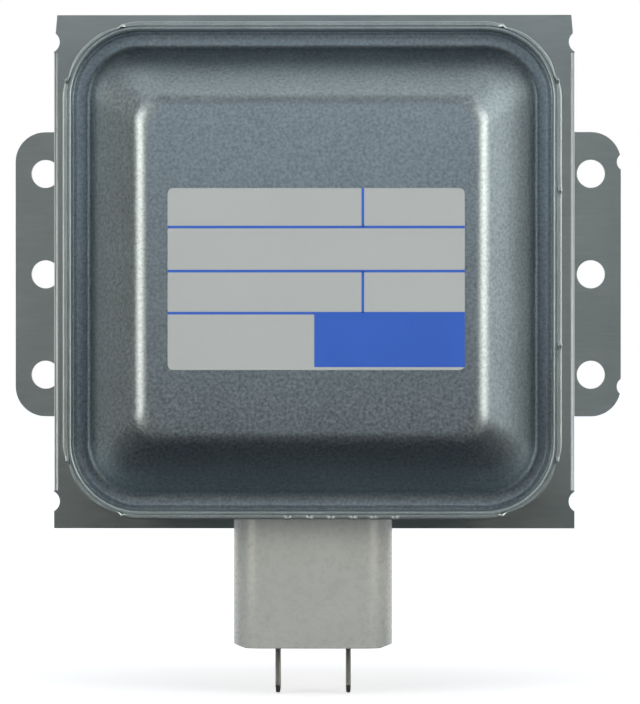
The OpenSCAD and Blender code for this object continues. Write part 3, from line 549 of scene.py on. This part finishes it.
class MAGNETRON_OT_lid(bpy.types.Operator):
    """Makes the drawn lid with its lip, groove, slope and raised top"""

    bl_idname = "magnetron.lid"
    bl_label = "Lid"

    bend_steps = 10
    # Half the width of the die's mark in millimetres, and where rings of points cross the flat top
    ridge_half = 0.3
    top_shares = (0.25, 0.5, 0.75, 0.97)
    # Most that a corner may be rounded, as a share of the distance to the middle
    corner_limit = 0.9

    def execute(self, context):
        settings = context.scene.magnetron
        sizes = settings.lid
        low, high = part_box("filter_lid")
        lip_w, lip_h = high.x - low.x, high.z - low.z
        lip_r = settings.box.corner - (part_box("filter_box")[1].x - high.x)
        groove_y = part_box("filter_box")[0].y + sizes.groove_depth
        dome_h = groove_y - low.y
        foot = sizes.sheet + sizes.groove_width
        top = (lip_w - sizes.dome_width) / 2
        inset_flat = top + sizes.dome_edge
        half = sizes.sheet / 2
        lip_edge = sizes.groove_depth - half - sizes.burnish
        line = bent_line(
            [(half, lip_edge), (half, 0), (foot, 0), (top, dome_h), (inset_flat, dome_h)],
            [sizes.lip_bend, sizes.groove_bend, sizes.dome_edge],
            self.bend_steps,
        )
        edge = sheared_edge(sizes.sheet, BURR_SIDE, sizes.burnish)
        rim = [Vector((x, sizes.groove_depth - down)) for x, down in edge]
        middle = lip_w / 2
        spread = [inset_flat + (middle - inset_flat) * f for f in self.top_shares]
        front = [p + half * n for p, n in reversed(line)]
        back = [p - half * n for p, n in line]
        groove_start = 1 + 2 * (self.bend_steps + 1)
        ridge_half = self.ridge_half * MM
        mark = [(sizes.ridge_at - ridge_half * k, half + sizes.ridge * (1 - k * k)) for k in (-1, -0.5, 0, 0.5, 1)]
        front[groove_start:groove_start] = [Vector(p) for p in mark]
        section = [Vector((x, dome_h + half)) for x in reversed(spread)] + front
        edge_rings = range(len(section) - 1, len(section) + len(rim))
        section += list(reversed(rim)) + back + [Vector((x, dome_h - half)) for x in spread]

        def corner(inset):
            if inset < foot:
                return lip_r - inset
            share = min(1, (inset - foot) / (top - foot))
            wide = lip_r - foot + (sizes.dome_corner - lip_r + foot) * share
            return min(wide, (lip_w / 2 - inset) * self.corner_limit)

        rings = []
        shape = rounded_loop(lip_w, lip_h, lip_r, settings.corner_steps, settings.side_step * 3)
        for p in section:
            r = corner(p.x)
            ring = []
            for q, n in shape:
                base = Vector((math.copysign(lip_w / 2 - lip_r, q.x), math.copysign(lip_h / 2 - lip_r, q.y)))
                pull = Vector((math.copysign(lip_w / 2 - p.x - r, q.x), math.copysign(lip_h / 2 - p.x - r, q.y)))
                offset = q - base
                along = Vector((0, 0))
                if abs(q.x) < lip_w / 2 - lip_r:
                    along.x = q.x * (lip_w / 2 - p.x - r) / (lip_w / 2 - lip_r) - pull.x
                    offset.x = 0
                if abs(q.y) < lip_h / 2 - lip_r:
                    along.y = q.y * (lip_h / 2 - p.x - r) / (lip_h / 2 - lip_r) - pull.y
                    offset.y = 0
                flat = pull + along + offset * (r / lip_r)
                ring.append((flat.x, groove_y + half - p.y, flat.y))
            rings.append(ring)
        shell = skin(rings)
        new_piece(
            "drawn_lid",
            shell,
            [speckled_zinc_steel(settings.colours, groove_y, sizes.soiled), once(sheared_steel, settings.colours)],
            ["filter_lid"],
            smooth_deg=60,
            face_materials=edge_faces(shell, len(shape), edge_rings),
        )
        return {"FINISHED"}


class MAGNETRON_OT_box(bpy.types.Operator):
    """Makes the drawn filter box with the trim marks and burrs on its rim"""

    bl_idname = "magnetron.box"
    bl_label = "Filter Box"

    # Millimetres from the middle: stake marks along the lower rim, nicks along the right rim
    stakes = (-3.8, -0.4, 3.0, 6.5, 9.7, 13.1)
    nicks = (12.7, -11.8)
    # Millimetres above the rim: rings of points up the outer face and the inner face
    outer_heights = (18, 12, 9, 6, 4, 3, 2, 1.4, 0.9, 0.5)
    inner_heights = (0.6, 1.2, 3, 8, 16)
    bend_steps = 6
    # Millimetres: how far up the wall the trim step and the burrs fade out, and their reach along the rim
    step_fade = 9
    burr_fade = 1.2
    step_run = 0.5
    burr_reach = 0.35
    pinch_at = 0.8
    pinch_reach = 1.6
    # Shares of a burr's height: that of the stake marks and nicks, and how far a burr leans out
    mark_share = 0.6
    burr_lean = 0.5

    def section(self, sizes, depth):
        """Inset from the outer face and height above the rim, round the sheet from the throat and back.

        The second value is the range of rings after which the faces belong to the sheared edge.
        """
        t, r = sizes.sheet, sizes.floor_bend
        bend = r + t
        path = [(None, depth), (bend, depth)]
        for k in range(1, self.bend_steps + 1):
            a = math.pi / 2 * k / self.bend_steps
            path.append((bend - bend * math.sin(a), depth - bend + bend * math.cos(a)))
        path += [(0, h * MM) for h in self.outer_heights]
        edge = sheared_edge(t, sizes.burnish, BURR_SIDE)
        edge_rings = range(len(path) - 1, len(path) + len(edge))
        path += edge + [(t, h * MM) for h in self.inner_heights]
        for k in range(self.bend_steps + 1):
            a = math.pi / 2 * k / self.bend_steps
            path.append((t + r - r * math.cos(a), depth - t - r + r * math.sin(a)))
        path.append((None, depth - t))
        return path, edge_rings

    def execute(self, context):
        settings = context.scene.magnetron
        sizes = settings.box
        low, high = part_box("filter_box")
        width, height = high.x - low.x, high.z - low.z
        rim_y = low.y
        t = sizes.sheet
        path, edge_rings = self.section(sizes, high.y - rim_y)
        shape = rounded_loop(width, height, sizes.corner, settings.corner_steps * 3, settings.side_step / 2)
        marks = [Vector((x * MM, -height / 2)) for x in self.stakes]
        marks += [Vector((width / 2, z * MM)) for z in self.nicks]
        burr_reach = self.burr_reach * MM
        rings = []
        for inset, rise in path:
            ring = []
            for p, n in shape:
                if inset is None:
                    flat = p.normalized() * sizes.throat
                    ring.append((flat.x, rim_y + rise, flat.y))
                    continue
                near = min(abs(p.x), abs(p.y))
                fade = max(0, 1 - rise / (self.step_fade * MM))
                outer = 1 - inset / t if inset < t else 0
                past = near - sizes.trim_at
                step = ease(sizes.trim_at, sizes.trim_at + self.step_run * MM, near) * sizes.trim_step
                step += bump(past - self.pinch_at * MM, self.pinch_reach * MM) * sizes.pinch
                burr = bump(past, burr_reach) * sizes.burr
                burr += sum(bump((p - mark).length, burr_reach) for mark in marks) * self.mark_share * sizes.burr
                burr *= max(0, 1 - rise / (self.burr_fade * MM)) * (1 if inset <= t else 0)
                flat = p - n * (inset + step * fade * outer - self.burr_lean * burr)
                ring.append((flat.x, rim_y + rise - burr, flat.y))
            rings.append(ring)
        shell = skin(rings, closed=True)
        new_piece(
            "drawn_box",
            shell,
            [drawn_zinc_steel(settings.colours), once(sheared_steel, settings.colours)],
            ["filter_box"],
            smooth_deg=50,
            face_materials=edge_faces(shell, len(shape), edge_rings),
        )
        return {"FINISHED"}


class MAGNETRON_OT_label(bpy.types.Operator):
    """Makes the label with its blue rules and block"""

    bl_idname = "magnetron.label"
    bl_label = "Label"

    # Printed shares of the label's width from its left edge and of its height from its top edge
    rule_down = (0.214, 0.456, 0.687)
    rule_right = 0.657
    block_right = 0.4935
    block_down = (0.68, 0.9835)
    # Millimetres: height of the ink over the film, and bevel of the film's cut edge
    ink_height = 0.01
    film_edge = 0.03

    def execute(self, context):
        settings = context.scene.magnetron
        sizes = settings.label
        low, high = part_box("rating_label")
        width, height = high.x - low.x, high.z - low.z
        middle = (low + high) / 2
        ink_y = low.y
        film_y = low.y + self.ink_height * MM
        edge = self.film_edge * MM

        def plate(inset, y):
            loop = rounded_loop(width - 2 * inset, height - 2 * inset, sizes.corner - inset, 8, width)
            return [(middle.x + p.x, y, middle.z + p.y) for p, n in loop]

        film = skin([plate(0, high.y), plate(0, film_y + edge), plate(edge, film_y)])

        def field(left, right, top, bottom):
            """A printed field, from shares of the label's width and height."""
            xs = [low.x + width * left, low.x + width * right]
            zs = [high.z - height * bottom, high.z - height * top]
            back = [(xs[0], film_y + edge, zs[0]), (xs[1], film_y + edge, zs[0])]
            back += [(xs[1], film_y + edge, zs[1]), (xs[0], film_y + edge, zs[1])]
            return skin([back, [(x, ink_y, z) for x, y, z in back]])

        across = sizes.rule / height / 2
        upright = sizes.rule / width / 2
        ends = (1, 1, self.block_right)
        fields = [field(0, end, d - across, d + across) for d, end in zip(self.rule_down, ends)]
        bands = [(0, self.rule_down[0]), (self.rule_down[1], self.rule_down[2])]
        fields += [field(self.rule_right - upright, self.rule_right + upright, a, b) for a, b in bands]
        fields.append(field(self.block_right, 1, *self.block_down))
        shell = merged(film, *fields)
        kinds = [0] * len(film[1]) + [1] * (len(shell[1]) - len(film[1]))
        new_piece(
            "ruled_label",
            shell,
            [label_film(settings.colours), label_ink(settings.colours)],
            ["rating_label"],
            face_materials=kinds,
        )
        return {"FINISHED"}


class MAGNETRON_OT_connector(bpy.types.Operator):
    """Makes the moulded connector housing and the two tab terminals"""

    bl_idname = "magnetron.connector"
    bl_label = "Connector"

    # Millimetres: rings of points across the housing's end, depth of the tabs' roots in it, rounding of a tab's edges
    end_insets = (3, 4.2)
    tab_root = 8
    tab_edge = 0.12

    def execute(self, context):
        settings = context.scene.magnetron
        sizes = settings.connector
        low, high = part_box("connector_housing")
        width, depth = high.x - low.x, high.y - low.y
        middle = (low + high) / 2
        edge = sizes.end_edge

        def ring(inset, z):
            steps = settings.corner_steps
            loop = rounded_loop(
                width - 2 * inset, depth - 2 * inset, sizes.corner - inset, steps, settings.side_step * 4
            )
            return [(middle.x + p.x, middle.y + p.y, max(z, end_at(p.x))) for p, n in loop]

        def end_at(x):
            past = abs(x) - (width / 2 - sizes.bevel_run)
            return low.z + max(0, past / sizes.bevel_run) * sizes.bevel_rise

        rings = [ring(0, high.z), ring(0, high.z - 0.2 * MM), ring(0, middle.z)]
        for k in range(9):
            a = math.pi / 2 * k / 8
            rings.append(ring(edge - edge * math.cos(a), low.z + edge - edge * math.sin(a)))
        rings += [ring(inset * MM, low.z) for inset in self.end_insets]
        new_piece(
            "moulded_housing",
            skin(rings),
            [once(moulded_thermoset, settings.colours)],
            ["connector_housing"],
        )
        plating = tinned_steel(settings.colours)
        for side in ("left", "right"):
            self.tab(side, sizes, low.z, plating)
        return {"FINISHED"}

    def tab(self, side, sizes, housing_end, plating):
        """One tab with its round conductor: the tip is coined to a blunt wedge."""
        node = "terminal_" + side
        low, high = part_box(node)
        middle = (low + high) / 2
        thick, wide = sizes.tab_thickness, high.y - low.y
        root = housing_end + self.tab_root * MM

        def ring(share_t, inset_w, z):
            loop = rounded_loop(thick * share_t, wide - 2 * inset_w, self.tab_edge * MM, 3, 1 * MM)
            return [(middle.x + p.x, middle.y + p.y, z) for p, n in loop]

        coin = sizes.tab_coin
        blade = [ring(1, 0, root), ring(1, 0, low.z + coin), ring(0.86, 0.9 * coin, low.z + 0.1 * coin)]
        blade += [ring(0.74, coin, low.z + 0.03 * MM), ring(0.6, coin + 0.08 * MM, low.z)]

        def round_ring(z):
            radius = sizes.conductor / 2
            turns = [2 * math.pi * k / 24 for k in range(24)]
            return [(middle.x + radius * math.cos(a), middle.y + radius * math.sin(a), z) for a in turns]

        rod = [round_ring(high.z), round_ring(root - 0.5 * MM)]
        new_piece("tab_" + side, merged(skin(blade), skin(rod)), [plating], [node], smooth_deg=35)


class MAGNETRON_OT_gasket(bpy.types.Operator):
    """Makes the knitted mesh gasket round the antenna's neck"""

    bl_idname = "magnetron.gasket"
    bl_label = "Mesh Gasket"

    # Millimetres between the ceramic and the ring
    gap = 1.82
    # Shares of a course that a stitch swings, of a stitch that it leans, and of the wire's radius that it rises
    swing_share = 0.78
    lean_share = 0.22
    lift_share = 0.5
    core_steps = 96
    steps = 10
    sides = 4

    def execute(self, context):
        settings = context.scene.magnetron
        sizes = settings.gasket
        low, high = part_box("rf_gasket")
        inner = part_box("output_ceramic")[1].x + self.gap * MM
        outer = high.x
        height = high.y - low.y
        wire_r = sizes.wire / 2
        inset = 2 * wire_r
        middle = Vector(((inner + outer) / 2, (low.y + high.y) / 2))
        width = outer - inner
        outline = rounded_loop(width - 2 * inset, height - 2 * inset, height / 4, 8, 0.6 * MM)

        def turned(p, angle):
            return Vector((p.x * math.cos(angle), p.y, p.x * math.sin(angle)))

        core_turns = [2 * math.pi * k / self.core_steps for k in range(self.core_steps)]
        core = [[turned(middle + p, angle) for p, n in outline] for angle in core_turns]
        lengths = [0]
        for (a, _), (b, _) in zip(outline, outline[1:] + outline[:1]):
            lengths.append(lengths[-1] + (b - a).length)
        girth = lengths[-1]

        def on_outline(s):
            """Point and normal on the section's outline at a distance along it."""
            s %= girth
            i = max(k for k in range(len(outline)) if lengths[k] <= s)
            f = (s - lengths[i]) / (lengths[i + 1] - lengths[i])
            (a, na), (b, nb) = outline[i], outline[(i + 1) % len(outline)]
            return a.lerp(b, f), na.lerp(nb, f).normalized()

        courses = round(girth / sizes.course)
        stitches = round(2 * math.pi * (inner + outer) / 2 / sizes.stitch)
        steps = self.steps
        turns = [2 * math.pi * (j + 0.5) / self.sides for j in range(self.sides)]
        loops = []
        for row in range(courses):
            route = []
            for k in range(stitches * steps):
                t = 2 * math.pi * k / steps
                swing = math.sin(t) * self.swing_share * sizes.course
                lean = math.sin(2 * t) * self.lean_share * sizes.stitch
                angle = 2 * math.pi * (k / steps + 0.5 * (row % 2)) / stitches
                angle += lean / ((inner + outer) / 2)
                p, n = on_outline(row * girth / courses + swing)
                lift = wire_r * (1 + self.lift_share * math.cos(2 * t))
                route.append((turned(middle + p + n * lift, angle), turned(n, angle)))
            rings = []
            for i, (p, n) in enumerate(route):
                ahead = (route[(i + 1) % len(route)][0] - route[i - 1][0]).normalized()
                across = ahead.cross(n).normalized()
                up = across.cross(ahead)
                rings.append([p + wire_r * (across * math.cos(a) + up * math.sin(a)) for a in turns])
            loops.append(skin(rings, closed=True))
        new_piece(
            "knitted_gasket",
            merged(skin(core, closed=True), *loops),
            [knitted_wire()],
            ["rf_gasket"],
            smooth_deg=100,
        )
        return {"FINISHED"}


class MAGNETRON_OT_yoke(bpy.types.Operator):
    """Finishes the yoke, the mounting plate and the rivets"""

    bl_idname = "magnetron.yoke"
    bl_label = "Yoke and Plate"

    def execute(self, context):
        settings = context.scene.magnetron
        zinc = zinc_plated_steel(settings.colours)
        dress(["yoke_frame", "mount_plate", "box_rivets", "capacitor_plate"], zinc, settings.edge)
        return {"FINISHED"}


class MAGNETRON_OT_tube(bpy.types.Operator):
    """Finishes the magnets, the fins and the tube"""

    bl_idname = "magnetron.tube"
    bl_label = "Tube, Magnets and Fins"

    def execute(self, context):
        names = sorted(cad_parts)
        edge = context.scene.magnetron.edge
        dress(["output_magnet", "input_magnet"], once(ground_ferrite), 4 * edge)
        dress([n for n in names if n.startswith("cooling_fin")], mill_aluminium())
        copper = oxygen_free_copper()
        dress([n for n in names if n.startswith("anode_") or "_strap_" in n], copper)
        dress(["exhaust_tube", "antenna_rod"], copper)
        dress(["output_pole_piece", "input_pole_piece"], nickel_plated_iron())
        sleeves = ["output_sleeve", "input_sleeve", "stem_terminal_left", "stem_terminal_right"]
        dress(sleeves, plated_sleeve_steel(), edge)
        dress(["output_ceramic", "cathode_stem"], fired_alumina(), edge)
        dress(["antenna_cap"], polished_stainless())
        cathode = ["centre_lead", "side_lead", "filament", "upper_end_hat", "lower_end_hat"]
        dress(cathode, refractory_metal())
        return {"FINISHED"}


class MAGNETRON_OT_filter(bpy.types.Operator):
    """Finishes the chokes and the capacitor inside the filter box"""

    bl_idname = "magnetron.filter"
    bl_label = "Chokes and Capacitor"

    def execute(self, context):
        settings = context.scene.magnetron
        dress(["choke_core_left", "choke_core_right"], once(ground_ferrite))
        dress(["choke_coil_left", "choke_coil_right"], enamelled_copper())
        dress(["capacitor_ceramic"], fired_titanate())
        dress(["capacitor_inner_case"], once(moulded_thermoset, settings.colours))
        return {"FINISHED"}


# Studio


def seen_by(tree):
    """1 for rays that show the background: straight to the camera, or off metal and through glass."""
    path = add(tree, "ShaderNodeLightPath").outputs
    metal = add(
        tree, "ShaderNodeMath", {0: path["Is Camera Ray"], 1: path["Is Glossy Ray"]}, operation="MAXIMUM"
    ).outputs[0]
    return add(tree, "ShaderNodeMath", {0: metal, 1: path["Is Transmission Ray"]}, operation="MAXIMUM").outputs[0]


class MAGNETRON_OT_stage(bpy.types.Operator):
    """Makes the camera, the lights, the floor and the white surround"""

    bl_idname = "magnetron.stage"
    bl_label = "Stage"

    # Tints of the cards in front of and below the object, and of those beside and above it
    sky = "#deebf8"
    wall = "#f6f9f5"
    # Light of the surround on matt surfaces, which evens out the warm lamps, and what the floor adds to its own tone
    ambient = 0.61
    ambient_tint = "#e4efff"
    floor_glow = 0.62
    # Tint of the lamps, and their distance from the origin in metres
    lamp_tint = "#fff4e0"
    lamp_away = 0.62

    def execute(self, context):
        scene = context.scene
        scene.view_settings.view_transform = "Standard"
        self.camera(scene)
        self.surround(scene)
        self.floor(scene)
        self.softbox(scene, "left_softbox", -46, 0.32, 0.46, 4.2)
        self.softbox(scene, "right_softbox", 46, 0.32, 0.46, 4.2)
        self.softbox(scene, "left_back_softbox", -140, 0.4, 0.46, 1.3)
        self.softbox(scene, "right_back_softbox", 140, 0.4, 0.46, 1.3)
        self.card(scene, "fill_card", (0, -0.25, 0.05), (90, 0, 0), (0.14, 0.1), self.sky, (0, 0.7), (1, 0.7))
        self.card(scene, "front_card", (0, -1.3, 0.2), (90, 0, 0), (2.4, 1.6), self.sky, (0, 0.02), (1, 0.1))
        low = CAD_BOX[0][2] - 0.1 * MM
        self.card(scene, "low_card", (0, -0.66, low), (0, 0, 0), (1.0, 1.26), self.sky, (0, 0.05), (1, 0.05))
        stops = ((0, 0.28), (0.4, 0.28), (0.55, 0.8), (1, 0.8))
        self.card(scene, "top_card", (0, -0.3, 0.6), (0, 0, 0), (1.0, 0.9), self.wall, *stops)
        self.card(scene, "left_card", (-0.5, -0.08, 0.1), (90, 0, 90), (0.5, 0.9), self.wall, (0, 0.1), (1, 0.1))
        self.card(scene, "right_card", (0.5, -0.08, 0.1), (90, 0, 90), (0.5, 0.9), self.wall, (0, 1.0), (1, 1.0))
        return {"FINISHED"}

    def camera(self, scene):
        """Looks from where the photograph was taken, through its vanishing point."""
        data = bpy.data.cameras.new("camera")
        data.sensor_width = SENSOR_MM
        data.lens = SENSOR_MM * FOCAL_PX / PHOTO_H
        data.clip_start = 0.01
        data.clip_end = 20
        right = (PHOTO_W / 2 - VANISHING_PX[0]) / FOCAL_PX
        down = (PHOTO_H / 2 - VANISHING_PX[1]) / FOCAL_PX
        camera = bpy.data.objects.new("camera", data)
        camera.location = Vector(CAMERA_PLACE) * MM
        camera.rotation_mode = "QUATERNION"
        camera.rotation_quaternion = Vector((right, 1, -down)).to_track_quat("-Z", "Y")
        scene.collection.objects.link(camera)
        scene.camera = camera

    def surround(self, scene):
        """A world that is white where it is seen, and lights matt surfaces more softly."""
        world = bpy.data.worlds.new("surround")
        world.use_nodes = True
        tree = world.node_tree
        tree.nodes.clear()
        fill = {"Color": linear(self.ambient_tint), "Strength": self.ambient}
        dim = add(tree, "ShaderNodeBackground", fill).outputs[0]
        white = add(tree, "ShaderNodeBackground", {"Color": (1, 1, 1, 1), "Strength": 1.0}).outputs[0]
        mixed = add(tree, "ShaderNodeMixShader", {0: seen_by(tree), 1: dim, 2: white}).outputs[0]
        add(tree, "ShaderNodeOutputWorld", {"Surface": mixed})
        scene.world = world

    def floor(self, scene):
        """A white floor under the tabs that keeps the object's shadow."""
        material = bpy.data.materials.new("white_floor")
        material.use_nodes = True
        tree = material.node_tree
        tree.nodes.clear()
        matt = add(tree, "ShaderNodeBsdfDiffuse", {"Color": (0.8, 0.8, 0.8, 1)}).outputs[0]
        shown = add(
            tree, "ShaderNodeMath", {0: seen_by(tree), 1: self.floor_glow}, operation="MULTIPLY"
        ).outputs[0]
        glow = add(tree, "ShaderNodeEmission", {"Color": (1, 1, 1, 1), "Strength": shown}).outputs[0]
        both = add(tree, "ShaderNodeAddShader", {0: matt, 1: glow}).outputs[0]
        add(tree, "ShaderNodeOutputMaterial", {"Surface": both})
        self.sheet(scene, "floor", (0, 0, CAD_BOX[0][2] - 0.2 * MM), (0, 0, 0), (6, 6), material)

    def sheet(self, scene, name, place, turn_deg, size, material):
        """A flat stage sheet."""
        mesh = bpy.data.meshes.new(name)
        x, y = size[0] / 2, size[1] / 2
        mesh.from_pydata([(-x, -y, 0), (x, -y, 0), (x, y, 0), (-x, y, 0)], [], [(0, 1, 2, 3)])
        mesh.materials.append(material)
        made = bpy.data.objects.new(name, mesh)
        made.location = place
        made.rotation_euler = [math.radians(a) for a in turn_deg]
        scene.collection.objects.link(made)
        return made

    def card(self, scene, name, place, turn_deg, size, tint, *stops):
        """A grey card that only shows in reflections. Each stop is a share of its height and its tone there."""
        material = bpy.data.materials.new(name)
        material.use_nodes = True
        tree = material.node_tree
        tree.nodes.clear()
        place_on_it = add(tree, "ShaderNodeTexCoord").outputs["Object"]
        up = add(tree, "ShaderNodeSeparateXYZ", {"Vector": place_on_it}).outputs["Y"]
        share = add(tree, "ShaderNodeMapRange", {"Value": up, "From Min": -size[1] / 2, "From Max": size[1] / 2})
        ramp = add(tree, "ShaderNodeValToRGB", {"Fac": share.outputs["Result"]})
        tones = ramp.color_ramp.elements
        while len(tones) < len(stops):
            tones.new(1)
        for made, (position, tone_there) in zip(tones, stops):
            made.position = position
            made.color = (tone_there, tone_there, tone_there, 1)
        glow = add(tree, "ShaderNodeEmission", {"Color": linear(tint), "Strength": ramp.outputs["Color"]}).outputs[0]
        add(tree, "ShaderNodeOutputMaterial", {"Surface": glow})
        made = self.sheet(scene, name, place, turn_deg, size, material)
        made.visible_camera = False
        made.visible_diffuse = False
        made.visible_shadow = False
        made.visible_transmission = False

    def softbox(self, scene, name, azimuth_deg, width, height, radiance):
        """A soft light facing the object, at an angle to the right of the camera."""
        data = bpy.data.lights.new(name, "AREA")
        data.shape = "RECTANGLE"
        data.size = width
        data.size_y = height
        data.energy = radiance * math.pi * width * height
        data.color = linear(self.lamp_tint)[:3]
        light = bpy.data.objects.new(name, data)
        a = math.radians(azimuth_deg)
        away = Vector((math.sin(a), -math.cos(a), 0.0))
        light.location = away * self.lamp_away
        light.rotation_mode = "QUATERNION"
        light.rotation_quaternion = (-away).to_track_quat("-Z", "Y")
        scene.collection.objects.link(light)


class MAGNETRON_PT_panel(bpy.types.Panel):
    """Lists the magnetron's steps"""

    bl_idname = "MAGNETRON_PT_panel"
    bl_label = "Magnetron"
    bl_space_type = "VIEW_3D"
    bl_region_type = "UI"
    bl_category = "Magnetron"

    def draw(self, context):
        for step in STEPS:
            self.layout.operator(step.bl_idname)
        self.layout.prop(context.scene.magnetron, "edge")
        for name in MagnetronColours.__annotations__:
            self.layout.prop(context.scene.magnetron.colours, name)


GROUPS = (
    MagnetronColours,
    LidSizes,
    BoxSizes,
    LabelSizes,
    ConnectorSizes,
    GasketSizes,
    MagnetronSettings,
)
STEPS = (
    MAGNETRON_OT_stage,
    MAGNETRON_OT_lid,
    MAGNETRON_OT_box,
    MAGNETRON_OT_label,
    MAGNETRON_OT_connector,
    MAGNETRON_OT_gasket,
    MAGNETRON_OT_yoke,
    MAGNETRON_OT_tube,
    MAGNETRON_OT_filter,
)


def register():
    for made in (*GROUPS, *STEPS, MAGNETRON_PT_panel):
        bpy.utils.register_class(made)
    bpy.types.Scene.magnetron = PointerProperty(type=MagnetronSettings)


def unregister():
    del bpy.types.Scene.magnetron
    for made in reversed((*GROUPS, *STEPS, MAGNETRON_PT_panel)):
        bpy.utils.unregister_class(made)


def main():
    register()
    bpy.ops.magnetron.stage()
    bpy.ops.magnetron.lid()
    bpy.ops.magnetron.box()
    bpy.ops.magnetron.label()
    bpy.ops.magnetron.connector()
    bpy.ops.magnetron.gasket()
    bpy.ops.magnetron.yoke()
    bpy.ops.magnetron.tube()
    bpy.ops.magnetron.filter()


if __name__ == "__main__":
    main()
